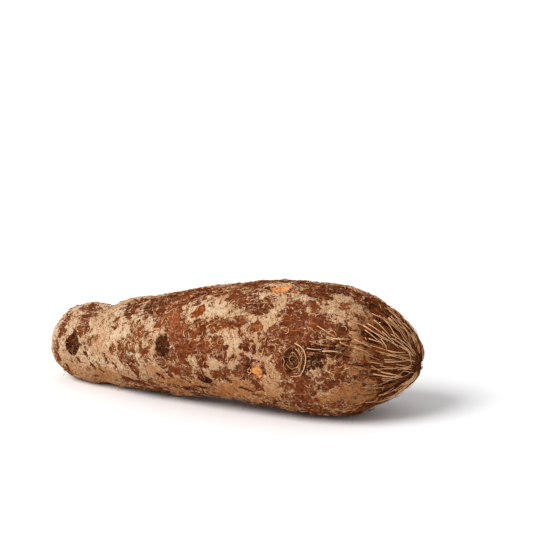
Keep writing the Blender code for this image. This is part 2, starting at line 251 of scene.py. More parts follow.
# Where the bark has flaked away, and how much of each is violet grey, red brown or soot dark. Along the
# top, near 100 degrees, the soot dark is partly painted shadow.
BARE_PATCHES = (
    (27.6, 101, 6.4, 5, 0, 0.4, 0.2, 0), (32.6, 127, 10, 4.5, 90, 0.4, 0.2, 0),
    (28.8, 151, 3.2, 3.2, 0, 0.4, 0.2, 0.1), (17, 143, 7.6, 4.8, 73, 0.7, 0.1, 0),
    (14.2, 195, 11, 4.2, -66, 0.4, 0.2, 0), (71.4, 191, 4.4, 3.4, -85, 0.2, 0.1, 0.1),
    (65, 116, 3.6, 2.4, 0, 0.2, 0.1, 0.2), (79.7, 178, 4.4, 2.5, -70, 0.1, 0.4, 0.1),
    (65, 103, 10, 5.6, 5, 0.2, 0.1, 0.5), (75, 226, 12, 4.2, 0, 0, 0.3, 0.3),
    (79, 104, 11, 5.4, 0, 0.1, 0.1, 0.5), (116, 190, 2.6, 2, 0, 0, 0.2, 0.2),
    (162, 182, 4.2, 5.4, 0, 0.1, 0.2, 0.2), (176.4, 175, 8.8, 5.2, 8, 0.3, 0, 1),
    (86, 131, 4.4, 3.6, 0, 0.1, 0.1, 0.5), (165, 130, 5, 3, 48, 0.1, 0.1, 0.4),
    (174, 112, 7, 3.8, -6, 0, 0.1, 0.7), (171, 226, 6, 4, 0, 0, 0.4, 0.2),
    (106, 126, 3, 2.6, 0, 0.1, 0.2, 0.2), (83, 115, 4.4, 3, 0, 0.1, 0.1, 0.4),
    (132, 98, 12, 3.6, 0, 0.1, 0.1, 0.4), (139.6, 199, 4.6, 3.2, -20, 0, 0.2, 0.3),
    (168, 95, 24, 3.6, 0, 0.1, 0, 0.5), (171, 188, 5, 3, 0, 0.1, 0.2, 0.2),
    (174, 126, 3.4, 2.8, 0, 0.1, 0.3, 0.2), (173, 162, 7, 4.4, 0, 0.1, 0.4, 0.2),
    (90, 188, 3.4, 2.6, 0, 0.2, 0.2, 0.3), (97, 134, 3.4, 3, 0, 0.1, 0.3, 0.3),
    (165, 211, 3.4, 3, 0, 0, 0.4, 0.3), (188, 226, 4, 2.4, 0, 0, 0.4, 0.3),
    (97.8, 183, 4, 3, 0, 0.3, 0.2, 0.2), (117, 113, 5, 3, 0, 0.1, 0.2, 0.3),
    (140, 110, 5, 3, 0, 0.1, 0.2, 0.3), (174, 104, 5, 3.4, 0, 0, 0.2, 0.7),
    (162, 137, 5, 4, 50, 0.1, 0.1, 0.3), (174, 166, 5, 4.6, 0, 0.2, 0, 0.9),
    (171.5, 187, 5, 4, 0, 0.1, 0.2, 0.7), (171.5, 220, 4.6, 3.4, 0, 0, 0.3, 0.4),
    (116, 200, 4, 1.8, 0, 0, 0.2, 0.3), (185.5, 192, 6.4, 3.2, 86, 0.1, 0.2, 0.4),
    (191.5, 169, 4, 3, 0, 0.1, 0.1, 0.5), (174.5, 183, 2.6, 4, 0, 0.1, 0, 1),
    (84, 126, 6, 4, -21, 0.2, 0.1, 0.4), (128, 150, 4, 2.4, 0, 0, 0.3, 0.2),
    (152.6, 173, 3.4, 2.8, 0, 0.1, 0.1, 0.3), (119, 192, 3, 1.8, 0, 0.1, 0.1, 0.3),
    (143, 198, 3.4, 3, 0, 0, 0.2, 0.3), (159.5, 156, 4, 3.4, 0, 0, 0.4, 0.2),
    (105.5, 201, 5.4, 2.6, 0, 0, 0.4, 0.2), (68.5, 186, 4, 3, -47, 0.1, 0.3, 0.1),
    (92, 130, 4, 3, -30, 0.1, 0.4, 0.3), (179, 162, 4, 2.4, 0, 0.1, 0.1, 0.7),
    (62.7, 126, 4.2, 3, -9, 0.2, 0.1, 0.2), (76, 124, 7.2, 4.6, -25, 0, 0.1, 0.6),
    (101.7, 163, 14.6, 6.2, -66, 0.4, 0.3, 0), (94, 147, 7.6, 4.6, -50, 0, 0.8, 0),
    (95, 116, 7, 4.4, -20, 0.1, 0.3, 0.3), (132.5, 124, 10.4, 5, -28, 0.6, 0.2, 0),
    (138.5, 124, 5.4, 3, -59, 0.9, 0, 0.3), (147, 133, 5.4, 4, -17, 0.5, 0.1, 0.4),
    (124, 153, 4.3, 2.9, -3, 0.1, 0.4, 0), (136.3, 149, 4.6, 2.6, 16, 0.2, 0.2, 0),
    (116.5, 156, 3.4, 2, -7, 0, 0.3, 0.3), (146.3, 153, 3.7, 2.9, 77, 0, 0.6, 0),
    (112.4, 173, 7, 4, 7, 0.1, 0.2, 0.1), (126.9, 175, 4.2, 3.4, -24, 0.1, 0.2, 0.2),
    (144.4, 169, 4.2, 3.8, 0, 0.1, 0.2, 0.2), (136.5, 182, 3, 2, 0, 0.1, 0.2, 0.2),
    (139, 162, 2.6, 1.8, 0, 0.1, 0.2, 0.2), (162.5, 167, 3.4, 2.4, 0, 0.1, 0.2, 0.3),
    (155, 169, 6.8, 4.2, 6, 0.1, 0.1, 0.3), (143, 189, 5, 6, 12, 0.1, 0, 0.5),
    (153.3, 190, 3.6, 1.8, 81, 0, 0.2, 0.2), (148, 204, 4.2, 3.6, -75, 0, 0.2, 0.3),
    (128.8, 197, 5.8, 2.5, 11, 0, 0.3, 0.2), (102.6, 200, 5, 2.5, 17, 0, 0.4, 0.1),
    (115.3, 182, 3.8, 1.8, 0, 0.1, 0.1, 0.2), (170.8, 111, 9.4, 4.6, -9, 0.2, 0.2, 0.4),
    (171, 148, 16.4, 9, 28, 0.3, 0.3, 0.2), (187.7, 120, 2.6, 1.6, -85, 0, 0.6, 0.1),
    (194.5, 99, 6.2, 3.6, -80, 0.1, 0.2, 0.4), (198.5, 88, 9.8, 3.2, -78, 0.7, 0, 0.1),
    (189.4, 144, 4, 3.4, 57, 0.8, 0.1, 0.1), (184.2, 166, 10.5, 3.8, 11, 0.3, 0, 1),
    (201.2, 143, 4.2, 2.9, -86, 0.6, 0.1, 0.2), (191.5, 184, 6.7, 2.7, 88, 0.1, 0.2, 0.3),
    (171.5, 201, 9.5, 7.3, -7, 0, 0.6, 0.3), (187, 221, 5, 3, 13, 0, 0.4, 0.2),
    (174.4, 218, 4.3, 2.6, 30, 0, 0.5, 0.2), (171.5, 187, 2.8, 2.2, 0, 0.1, 0.3, 0.2),
    (171.3, 222, 2.6, 2.2, 0, 0.1, 0.3, 0.2), (189.2, 184, 2.2, 2, 0, 0.1, 0.3, 0.2),
    (73.3, 204, 2.8, 4.4, 0, 0.1, 0.2, 0.1), (206, 215, 5.8, 3, -88, 0, 0.3, 0.1),
)
# Where the bark is left, and how whole and how pale it is.
CORK_PATCHES = (
    (124, 135, 4.6, 4.6, 0, 0.5, 0.9), (18, 183, 5, 5.4, 0, 0.5, 0.8), (37.5, 168, 4.6, 3.6, 0, 0.5, 0.7),
    (44, 106, 8, 5, 0, 0.5, 0.7), (79, 143, 3.4, 4.6, 0, 0.4, 0.8), (148, 179, 5, 3.4, 0, 0.45, 0.5),
    (149, 118, 7, 2.6, 20, 0.5, 0.9), (182, 179, 4.4, 3.4, 0, 0.6, 0.4), (184.5, 133, 5, 4.6, 0, 0.5, 0.9),
    (195.5, 116, 5, 4, 0, 0.6, 0.8), (196, 145, 4, 2, 0, 0.3, 0.4), (136, 189, 3.6, 3, 0, 0.4, 0.5),
    (191, 135, 7, 3, 20, 0.4, 0.8), (203, 208, 5, 3.4, 0, 0.2, 0.2), (180, 212, 4.4, 4, 0, 0.5, 0.2),
    (133.5, 140, 3.4, 3, 0, 0.4, 0.7), (136, 172, 3, 2.4, 0, 0.4, 0.6), (132, 172, 4.6, 3, 0, 0.5, 0.8),
    (100.7, 126, 4, 3, -60, 0.5, 0.8), (191, 209, 6, 4.6, 0, 0.6, 0.6), (199.5, 165, 5, 4, 0, 0.3, 0.6),
    (120, 154, 3.4, 3.4, 0, 0.4, 0.8), (107.5, 182, 3, 2.4, 0, 0.4, 0.7), (186, 121, 5.4, 5.4, 0, 0.6, 0.9),
    (25.6, 129, 3, 3.4, 70, 0.6, 0.8), (142.7, 147, 3, 3, 0, 0.4, 0.7), (155.8, 180, 3.4, 3, 0, 0.4, 0.5),
    (160, 206, 4, 3, 0, 0.4, 0.3), (181.7, 198, 4, 3, 0, 0.3, 0.3), (201.5, 203, 3.4, 2.6, 0, 0.5, 0.7),
    (195, 138, 4, 3, 0, 0.3, 0.4), (199.5, 222, 5, 4, 0, 0.6, 0.9), (201.3, 181, 3, 2.6, 0, 0.5, 0.8),
    (198.5, 152, 2.6, 2.4, 0, 0.5, 0.8), (181.7, 178, 2.6, 2, 0, 0.4, 0.7), (147, 182, 2.6, 2, 0, 0.4, 0.7),
    (191, 209, 2.4, 2, 0, 0.4, 0.5), (196, 181, 4, 3, 0, 0.2, 0.2), (190, 118, 4.4, 4, 0, 0.5, 0.9),
    (154, 140, 7, 4.4, 50, 0.5, 0.8), (14, 170, 5, 4, -60, 0.5, 0.6), (23, 124, 7.4, 3.6, 70, 0.5, 0.8),
    (26, 205, 8, 6, -10, 0.5, 0.5), (44, 120, 8, 7.6, -40, 0.6, 0.7), (46, 150, 8.6, 6, -10, 0.5, 0.7),
    (50, 178, 9, 6.6, -20, 0.4, 0.5), (48, 212, 12, 6, 0, 0.5, 0.2), (64, 212, 9, 4.6, 0, 0.5, 0.6),
    (78, 160, 3.2, 5.6, -20, 0.4, 0.7), (84, 172, 2.4, 7, 10, 0.4, 0.7), (80, 197, 8, 4, -20, 0.5, 0.9),
    (112.4, 135, 12.2, 7.6, 6, 0.45, 1), (130.7, 164, 10.1, 4.4, -15, 0.4, 0.8),
    (117.2, 187, 10.9, 4.4, -4, 0.4, 0.7), (143.6, 210, 15.3, 7.4, 11, 0.7, 0.2),
    (148, 100, 10.7, 4.7, 4, 0.5, 0.9), (164, 132, 15.9, 3.2, 57, 0.45, 0.8),
    (185.4, 117, 10.3, 5.6, -75, 0.7, 0.6), (196.7, 149, 4, 2.4, -87, 0.4, 0.4),
    (185.4, 182, 5.2, 4.2, 51, 0.35, 0.3), (192.5, 208, 11.1, 6, -2, 0.4, 0.2),
    (156.7, 200, 10.9, 4.2, 73, 0.4, 0.4), (85.3, 202, 7.6, 4.6, -1, 0.35, 0.3),
    (100, 214, 12, 4, 0, 0.3, 0.1),
)
# Where the bark is worn to fine shreds.
SHREDS = (
    (41, 161, 5, 3.2, 0), (56.9, 141, 4.4, 2.2, -79), (72.4, 152, 6.4, 4.8, -79), (77.5, 160, 4, 3, 0),
    (67.1, 183, 8, 6.2, -47), (83.4, 124, 11, 6, -21), (116.3, 154, 6.8, 3.4, -5), (117.2, 184, 4, 3, 10),
    (104.6, 199, 7, 2.6, 0), (94, 190, 8, 3, 10), (77, 221, 6, 2.8, -10), (96, 222, 9, 2.4, 0),
    (57.7, 172, 3, 3, 0), (150, 220, 9, 2.2, 0), (34.4, 158, 3.2, 2.4, 0), (83.4, 170, 3, 3.6, 0),
    (126, 165, 3.4, 2.4, 0), (115.5, 130, 3, 2.4, 0), (130, 152, 9, 2.8, -9), (158, 160, 8, 4, 20),
)
# Where a flake has laid the bark's own inner layer bare, and how orange it is.
FLAKES = (
    (151.6, 111, 6.4, 3.8, 24, 1), (148.9, 193, 4.6, 2.6, 82, 1), (110.6, 137, 5.6, 4, 58, 0.42),
)
# Narrow slits in the bark. The skin in them is darkened, as painted shade in the slit.
SLITS = (
    (52, 186, 3, 1, -60), (40.9, 201, 2.8, 1.1, -44), (40.2, 222, 2.2, 1.2, 5), (36.8, 182, 1.8, 1, -50),
    (58, 196, 2.4, 0.9, -40), (62, 168, 2, 0.8, -60), (47, 208, 1.8, 0.9, -30), (68, 220, 7, 1.3, -12),
    (45, 196, 1.8, 0.9, -50), (31, 192, 2, 0.9, -60), (95, 206, 2.4, 0.9, -40), (100, 226, 7, 1.2, 0),
    (131, 204, 3, 1, -35), (104, 211, 3.4, 0.9, -20), (88, 208, 2.6, 0.9, -40), (140, 214, 4, 0.9, -14),
    (112, 221, 5, 1, -6),
)
# Scars of roots and side shoots, and how dark each is.
SCARS = (
    (27.2, 170, 5.4, 6.6, 0, 1), (91.8, 172, 5, 6.4, 0, 0.65), (117, 206.5, 4.4, 3.2, 0, 1),
    (168.3, 177, 5.8, 7.4, 0, 0.5), (195, 100, 4.2, 3.8, 0, 0.5), (58, 72, 4.4, 3.8, 0, 0.6),
    (88, 20, 4.6, 4.2, 0, 0.7), (132, 48, 3.8, 3.4, 0, 0.6), (148, 335, 5, 4.6, 0, 0.8),
    (174, 12, 4.4, 4, 0, 0.6), (36, 318, 4, 3.6, 0, 0.7),
)

# The share of whole bark: most of the root third, half of the middle, and little on the crown.
CORK_SHARES = ((0, 0.5), (20, 0.6), (58, 0.5), (80, 0.15), (120, 0.05), (165, 0), (185, 0), (198, -0.5))
cork = np.interp(along, *zip(*CORK_SHARES, (LENGTH, -0.9)))
cork += 0.8 * noise_on(skin, 13.0) + 0.5 * noise_on(skin, 5.0, 7.0)
cork -= 0.45 * smooth((9.0 - skin[..., 2]) / 6.0) * smooth((along - 45.0) / 20.0)
# Along the top, past the root third, the bark thins to brown skin: partly the real brown streaks there, and
# partly a painted shadow along the top.
cork -= 0.5 * np.exp(-(((degrees - 96.0) / 13.0) ** 2)) * smooth((along - 55.0) / 20.0)
ragged = 0.5 * noise_on(skin, 4.5, 3.0) + 0.5 * noise_on(skin, 2.0, 11.0)
violet, red, soot_and_shade, pale, orange = (np.zeros(along.shape) for _ in range(5))
# The bark is paler toward the root end and less pale on the underside, which is partly painted shade.
pale += smooth((110.0 - along) / 50.0) * 0.5 + 0.45 - 0.35 * smooth((degrees - 190.0) / 30.0)
for place in CORK_PATCHES:
    hold = smooth((1.4 - patch_reach(*place[:5])[0] + ragged) / 0.8)
    cork += (place[5] + 0.15 - cork) * hold
    pale += (place[6] - pale) * hold
for place in SHREDS:
    hold = smooth((1.3 - patch_reach(*place)[0] + ragged) / 0.6)
    cork += (-0.16 - cork) * hold
    pale *= 1.0 - 0.5 * hold
for place in BARE_PATCHES:
    reach = patch_reach(*place[:5])[0]
    cork += (-0.62 - cork) * smooth((1.4 - reach + ragged) / 0.8)
    for tint, share in zip((violet, red, soot_and_shade), place[5:]):
        tint += (share - tint) * smooth((1.7 - reach + 1.5 * ragged) / 1.3)
for place in SLITS:
    hold = smooth((1.3 - patch_reach(*place, skin)[0]) / 0.4)
    cork += (-0.9 - cork) * hold
    # The skin in a slit is darkened: painted shade.
    soot_and_shade += (0.4 - soot_and_shade) * hold
for place in FLAKES:
    hold = smooth((1.1 - patch_reach(*place[:5], (skin + wandered) / 2)[0] + 0.8 * ragged) / 0.3)
    cork += (0.8 - cork) * hold
    orange += (place[5] - orange) * hold
cork = 0.65 * np.tanh(2.5 * cork)
crown = smooth((along - 184.0) / 20.0)
pale *= 1.0 - 0.7 * smooth((along - 192.0) / 12.0)
# On the crown's top the skin is soot dark, partly as a painted shadow along the top.
top_soot_and_shade = crown * np.exp(-(((degrees - 92.0) / 22.0) ** 2)) * (0.8 + 0.8 * noise_on(skin, 6.0, 15.0))
soot_and_shade += (0.6 - soot_and_shade) * top_soot_and_shade
red += (0.8 - red) * 0.8 * crown
# Toward the underside, and on the crown, the bark is more ochre; toward the underside this is partly painted
# shade.
underside = smooth((degrees - 192.0) / 30.0) * smooth((345.0 - degrees) / 40.0)
ochre_and_underside_shade = np.clip(0.3 * crown + 0.5 * underside, 0.0, 1.0)

# The relief, in millimetres: bare skin is lower than the bark beside it, whose edge curls up a little. Fine
# wrinkles run round the tuber, and on the crown ridges of old leaf fibres run along it.
BARK_DEPTH = 0.4
EDGE_CURL = 0.14
relief = -BARK_DEPTH * smooth(0.5 - cork / 0.5) + EDGE_CURL * np.exp(-(((cork - 0.3) / 0.2) ** 2))
relief += 0.3 * noise_on(skin, 6.0, 5.0) + 0.16 * noise_on(skin, 2.6, 9.0)
relief += (1.0 - crown) * 0.12 * noise_on(unrolled, (1.8, 9.0, 9.0), 4.0)
relief += (0.12 + 0.8 * crown) * noise_on(unrolled, (16.0, 2.6, 2.6), 2.0)
relief += (0.1 + 0.6 * crown) * noise_on(unrolled, (9.0, 1.4, 1.4), 8.0)
scarred, rings = np.zeros(along.shape), np.zeros(along.shape)
knots = noise_on(skin, 1.5, 6.0)
for number, place in enumerate(SCARS):
    reach, round_scar = patch_reach(*place[:5], skin)
    spokes = np.sin(11 * round_scar + 3.0 * knots + number)
    inside = smooth((1.1 - reach) / 0.3)
    relief += inside * (0.45 * knots + 0.3 * spokes * smooth(reach * 1.6)) - 0.5 * smooth((0.8 - reach) / 0.5)
    relief += 0.35 * np.exp(-(((reach - 1.12) / 0.16) ** 2)) * (1.0 + 0.8 * knots)
    hold = smooth((1.1 - reach + 0.2 * ragged) / 0.3)
    scarred = np.maximum(scarred, place[5] * hold)
    rings += (reach - rings) * (reach < 1.6)
ends = smooth(np.minimum(along, LENGTH - along) / 3.0)
skin = skin + out * (relief * ends)[..., None]
skin[..., 2] = np.maximum(skin[..., 2], 0.0)
skin[0], skin[-1] = skin[0].mean(axis=0), skin[-1].mean(axis=0)
bark_surface = surface_of(skin)

# The mesh: a profile spun round, whose points then take the grid's places and what the material reads there.
blank = bmesh.new()
profile = [blank.verts.new((i, 0.0, 1.0 if 0 < i < RINGS else 0.0)) for i in range(RINGS + 1)]
edges = [blank.edges.new(pair) for pair in zip(profile, profile[1:])]
whole_turn = {"steps": ROUND, "angle": 2 * math.pi, "use_merge": True}
bmesh.ops.spin(blank, geom=profile + edges, axis=(1.0, 0.0, 0.0), cent=(0.0, 0.0, 0.0), **whole_turn)
bmesh.ops.remove_doubles(blank, verts=blank.verts[:], dist=1e-4)
layers = {name: blank.verts.layers.float.new(name) for name in ("cork", "crown")}
tints = {name: blank.verts.layers.float_color.new(name) for name in ("bare_tint", "bark_tint", "scar_tint")}
flat_place = blank.verts.layers.float_vector.new("unrolled")
for vert in blank.verts:
    ring = round(vert.co.x)
    step = round(math.atan2(vert.co.z, vert.co.y) / (2 * math.pi) * ROUND) % ROUND
    vert.co = skin[ring, step]
    vert[layers["cork"]] = cork[ring, step]
    vert[layers["crown"]] = crown[ring, step]
    vert[tints["bare_tint"]] = (violet[ring, step], red[ring, step], soot_and_shade[ring, step], 1.0)
    vert[tints["bark_tint"]] = (pale[ring, step], orange[ring, step], ochre_and_underside_shade[ring, step], 1.0)
    vert[tints["scar_tint"]] = (scarred[ring, step], rings[ring, step], 0.0, 1.0)
    vert[flat_place] = unrolled[ring, step]


def linear(code):
    """A colour's linear values from its sRGB hex code."""
    parts = [int(code[i : i + 2], 16) / 255 for i in (1, 3, 5)]
    return (*(p / 12.92 if p <= 0.04045 else ((p + 0.055) / 1.055) ** 2.4 for p in parts), 1.0)


def new_material(name, roughness, specular=0.0):
    """A material, its Principled shader, and the function that adds a node to it."""
    material = bpy.data.materials.new(name)
    material.use_nodes = True
    tree = material.node_tree
    shader = tree.nodes["Principled BSDF"]
    shader.inputs["Roughness"].default_value = roughness
    shader.inputs["Specular IOR Level"].default_value = specular

    def add(kind, inputs=(), out=0, **settings):
        """Adds a node with its settings and its input values or links, and returns one of its outputs."""
        node = tree.nodes.new("ShaderNode" + kind)
        for key, value in settings.items():
            setattr(node, key, value)
        for key, value in dict(inputs).items():
            if isinstance(value, bpy.types.NodeSocket):
                tree.links.new(value, node.inputs[key])
            else:
                node.inputs[key].default_value = value
        return node.outputs[out]

    return material, shader, add


# Dry flaking bark over smooth brown skin. The bark is matt and powdery, tan where it is clean and ochre
# lower down, partly as painted shade, with torn edges that catch the light, given a painted highlight. The
# skin under it is a dull red brown, streaked along the tuber, with blots of violet grey and of soot; the
# soot dark along the top is partly painted shadow.
BARK_PALE, BARK_TAN, BARK_OCHRE, BARK_SPECK, BARK_EDGE_HIGHLIGHT, BARK_UNDER, SHRED_GROUND = (
    linear(code) for code in ("#D0BA9D", "#BE9268", "#9A6633", "#74421F", "#F2DCBC", "#A0633A", "#85502F")
)
FLAKE_ORANGE, FLAKE_RUST = linear("#D6965C"), linear("#74381A")
SKIN_BROWN, SKIN_DEEP, SKIN_RED, SKIN_VIOLET, SKIN_SOOT_AND_SHADE, SKIN_STREAK, SKIN_GAP_SHADOW = (
    linear(code) for code in ("#7C422A", "#431C10", "#8F5636", "#5A3628", "#2C1710", "#B0723F", "#2A1008")
)
SCAR_DARK, SCAR_FIBRE = linear("#1E0D08"), linear("#935C38")
# The patterns' sizes in millimetres. Real grit is finer, and is drawn as coarse as it needs to show. The last
# five have their length along the tuber first, and then their width round it.
TEAR_SIZE, GRIT_SIZE, BLOT_SIZE, LINE_SIZE, DRIFT_SIZE, DRIFT_REACH = 2.6, 1.0, 7.0, 3.0, 3.2, 5.0
STREAK_SIZE, STRAND_SIZE, WRINKLE_SIZE = (9.0, 0.9, 0.9), (26.0, 2.2, 2.2), (0.9, 5.0, 5.0)
DASH_SIZE, CRACK_SIZE = (1.3, 3.0, 3.0), (2.6, 5.0, 5.0)
# Settings that many nodes share: a range with soft ends, a mix of two colours, and a product.
SOFT, COLOURS = {"interpolation_type": "SMOOTHSTEP"}, {"out": 2, "data_type": "RGBA"}
TIMES = {"operation": "MULTIPLY"}

bark, shader, add = new_material("flaking cork bark over smooth skin", roughness=0.9)
place = add("VectorMath", {0: add("TexCoord", out=3), "Scale": 1 / MM}, operation="SCALE")
flat = add("Attribute", out=1, attribute_name="unrolled")
lean = add("Math", {0: add("SeparateXYZ", {0: place}, out=2), 1: 0.5}, **TIMES)
leaning = add("VectorMath", {0: flat, 1: add("CombineXYZ", {0: lean})}, operation="ADD")
whole = add("Attribute", out=2, attribute_name="cork")
crown_share = add("Attribute", out=2, attribute_name="crown")
bare_tint, bark_tint, scar_tint = (
    add("SeparateColor", {0: add("Attribute", attribute_name=name)}).node.outputs
    for name in ("bare_tint", "bark_tint", "scar_tint")
)

drift = add("TexNoise", {"Vector": place, "Scale": 1 / DRIFT_SIZE, "Detail": 2.0}, out=1)
drift = add("VectorMath", {0: drift, 1: (0.5, 0.5, 0.5)}, operation="SUBTRACT")
drift = add("VectorMath", {0: drift, "Scale": DRIFT_REACH}, operation="SCALE")
torn_place = add("VectorMath", {0: place, 1: drift}, operation="ADD")
rough_tear = {"Detail": 3.0, "Roughness": 0.54, "Distortion": 0.8}
tear = add("TexNoise", {"Vector": torn_place, "Scale": 1 / TEAR_SIZE, **rough_tear})
grit = add("TexNoise", {"Vector": place, "Scale": 1 / GRIT_SIZE, "Detail": 2.0, "Roughness": 0.6})
blots = add("TexNoise", {"Vector": place, "Scale": 1 / BLOT_SIZE, "Detail": 3.0, "Roughness": 0.6})
stretched = []
for where, size, settings in (
    (flat, STREAK_SIZE, {"Detail": 3.0, "Roughness": 0.65}),
    (flat, STRAND_SIZE, {"Detail": 2.0, "Distortion": 0.4}),
    (leaning, WRINKLE_SIZE, {"Detail": 2.0}),
    (leaning, DASH_SIZE, {"Detail": 2.0, "Distortion": 1.2}),
    (leaning, CRACK_SIZE, {"Detail": 2.0, "Distortion": 1.6}),
):
    shrunk = add("VectorMath", {0: where, 1: tuple(1 / side for side in size)}, **TIMES)
    stretched.append(add("TexNoise", {"Vector": shrunk, "Scale": 1.0, **settings}))
streaks, strands, wrinkles, dashes, cracks = stretched
mottle = add("Mix", {0: 0.5, 2: tear, 3: blots})
crown_lean = add("Math", {0: crown_share, 1: 0.85}, **TIMES)
pattern = add("Mix", {0: crown_lean, 2: tear, 3: streaks})

# Where bark ends and skin starts: the grown pattern, torn at its edges by finer noise. The lip is the bark's
# own edge, which gets a painted highlight, and past it the skin lies under the lip first, in painted shadow,
# and then deeper.
edge = whole
crown_tear = add("MapRange", {"Value": crown_share, "To Min": 0.9, "To Max": 2.6})
for source, strength in ((pattern, 2.4), (grit, 0.8), (streaks, crown_tear)):
    centred = add("Math", {0: source, 1: 0.5}, operation="SUBTRACT")
    edge = add("Math", {0: centred, 1: strength, 2: edge}, operation="MULTIPLY_ADD")
bare, lip_highlight, lip_shadow, deeper = (
    add("MapRange", {"Value": edge, "From Min": start, "From Max": full}, **SOFT)
    for start, full in ((0.05, -0.05), (0.18, 0.03), (-0.2, -0.04), (-0.2, -0.34))
)

# Thin worm-like lines, where a noise crosses its own middle value: threads of bark left on the skin. Small
# dashes and cracks of bare skin in the bark, which run round the tuber. Where bark is worn to shreds, bark
# and skin lie side by side in lines about a millimetre wide.
line_noise = {"Scale": 1 / LINE_SIZE, "Detail": 1.0, "Distortion": 0.6}
line = add("TexNoise", {"Vector": torn_place, **line_noise})
line = add("Math", {0: line, 1: 0.5}, operation="SUBTRACT")
line = add("Math", {0: line}, operation="ABSOLUTE")
line = add("MapRange", {"Value": line, "From Min": 0.034, "From Max": 0.017}, **SOFT)
strewn = add("TexNoise", {"Vector": place, "Scale": 1 / (1.6 * LINE_SIZE), "Detail": 2.0})
strewn = add("MapRange", {"Value": strewn, "From Min": 0.44, "From Max": 0.52})
line = add("Math", {0: line, 1: strewn}, **TIMES)
threads_share = add("MapRange", {"Value": whole, "From Min": -0.7, "From Max": -0.35})
threads_share = add("Math", {0: threads_share, 1: line}, **TIMES)
dashes = add("MapRange", {"Value": dashes, "From Min": 0.6, "From Max": 0.64}, **SOFT)
cracks = add("Math", {0: cracks, 1: 0.5}, operation="SUBTRACT")
cracks = add("Math", {0: cracks}, operation="ABSOLUTE")
cracks = add("MapRange", {"Value": cracks, "From Min": 0.045, "From Max": 0.025, "To Max": 0.65})
strewn = add("MapRange", {"Value": blots, "From Min": 0.5, "From Max": 0.56})
cracks = add("Math", {0: cracks, 1: strewn}, **TIMES)
shreds = add("Math", {0: tear, 1: 17.0, 2: grit}, operation="MULTIPLY_ADD")
shreds = add("Math", {0: shreds}, operation="SINE")
shreds = add("MapRange", {"Value": shreds, "From Min": -0.75, "From Max": -0.3}, **SOFT)
shredded = add("Math", {0: whole, 1: 0.25}, operation="ADD")
shredded = add("Math", {0: shredded}, operation="ABSOLUTE")
shredded = add("MapRange", {"Value": shredded, "From Min": 0.13, "From Max": 0.07, "To Max": 0.8})
bare = add("Mix", {0: shredded, 2: bare, 3: shreds})
for share, change in ((dashes, "ADD"), (cracks, "ADD"), (threads_share, "SUBTRACT")):
    bare = add("Math", {0: bare, 1: share}, operation=change, use_clamp=True)

# The bark's colour: ochre and tan, bleached or more ochre where the grid says so, with grit, flakes and
# lips. The lips' light colour is a painted highlight.
share = add("MapRange", {"Value": blots, "From Min": 0.35, "From Max": 0.65})
colour = add("Mix", {0: share, 6: BARK_OCHRE, 7: BARK_TAN}, **COLOURS)
for source, most, tint in ((bark_tint[0], 0.9, BARK_PALE), (bark_tint[2], 0.75, BARK_OCHRE)):
    share = add("Math", {0: source, 1: most}, **TIMES)
    colour = add("Mix", {0: share, 6: colour, 7: tint}, **COLOURS)
specks = add("MapRange", {"Value": grit, "From Min": 0.57, "From Max": 0.68, "To Max": 0.8}, **SOFT)
colour = add("Mix", {0: specks, 6: colour, 7: BARK_SPECK}, **COLOURS)
share = add("Math", {0: tear, 1: bark_tint[1]}, **TIMES)
share = add("MapRange", {"Value": share, "From Min": 0.2, "From Max": 0.45})
flake_colour = add("Mix", {0: share, 6: FLAKE_RUST, 7: FLAKE_ORANGE}, **COLOURS)
share = add("MapRange", {"Value": bark_tint[1], "From Min": 0.1, "From Max": 0.4}, **SOFT)
colour = add("Mix", {0: share, 6: colour, 7: flake_colour}, **COLOURS)
# The painted highlight on the lips, weaker on the crown and where the bark is shredded.
lip_highlight_share = add("MapRange", {"Value": crown_share, "To Min": 0.85, "To Max": 0.3})
lip_highlight_share = add("Math", {0: lip_highlight, 1: lip_highlight_share}, **TIMES)
unshredded = add("MapRange", {"Value": shredded, "To Min": 1.0, "To Max": 0.0})
lip_highlight_share = add("Math", {0: lip_highlight_share, 1: unshredded}, **TIMES)
bark_colour = add("Mix", {0: lip_highlight_share, 6: colour, 7: BARK_EDGE_HIGHLIGHT}, **COLOURS)

# The skin's colour: mottled brown with its blots and streaks, and on the crown light strands with dark gaps
# between them, which are painted shadow.
share = add("MapRange", {"Value": mottle, "From Min": 0.4, "From Max": 0.6})
colour = add("Mix", {0: share, 6: SKIN_DEEP, 7: SKIN_BROWN}, **COLOURS)
for source, tint in zip(bare_tint, (SKIN_VIOLET, SKIN_RED, SKIN_SOOT_AND_SHADE)):
    share = add("Math", {0: source, 1: 0.8}, **TIMES)
    colour = add("Mix", {0: share, 6: colour, 7: tint}, **COLOURS)
share = add("MapRange", {"Value": streaks, "From Min": 0.55, "From Max": 0.66, "To Max": 0.6}, **SOFT)
colour = add("Mix", {0: share, 6: colour, 7: SKIN_STREAK}, **COLOURS)
# The second pass darkens the gaps between the crown's strands: painted shadow.
for low, high, most, tint in ((0.57, 0.62, 0.45, SKIN_STREAK), (0.48, 0.42, 0.85, SKIN_GAP_SHADOW)):
    ends = {"From Min": low, "From Max": high, "To Max": most}
    share = add("MapRange", {"Value": strands, **ends}, **SOFT)
    share = add("Math", {0: share, 1: crown_share}, **TIMES)
    colour = add("Mix", {0: share, 6: colour, 7: tint}, **COLOURS)
under_colour = add("Mix", {0: 0.7, 6: colour, 7: BARK_UNDER}, **COLOURS)
colour = add("Mix", {0: deeper, 6: under_colour, 7: colour}, **COLOURS)
# The skin just under the lip is darkened: painted shadow of the lip.
share = add("Math", {0: lip_shadow, 1: 0.3}, **TIMES)
skin_colour = add("Mix", {0: share, 6: colour, 7: SKIN_DEEP}, **COLOURS)
skin_colour = add("Mix", {0: shredded, 6: skin_colour, 7: SHRED_GROUND}, **COLOURS)

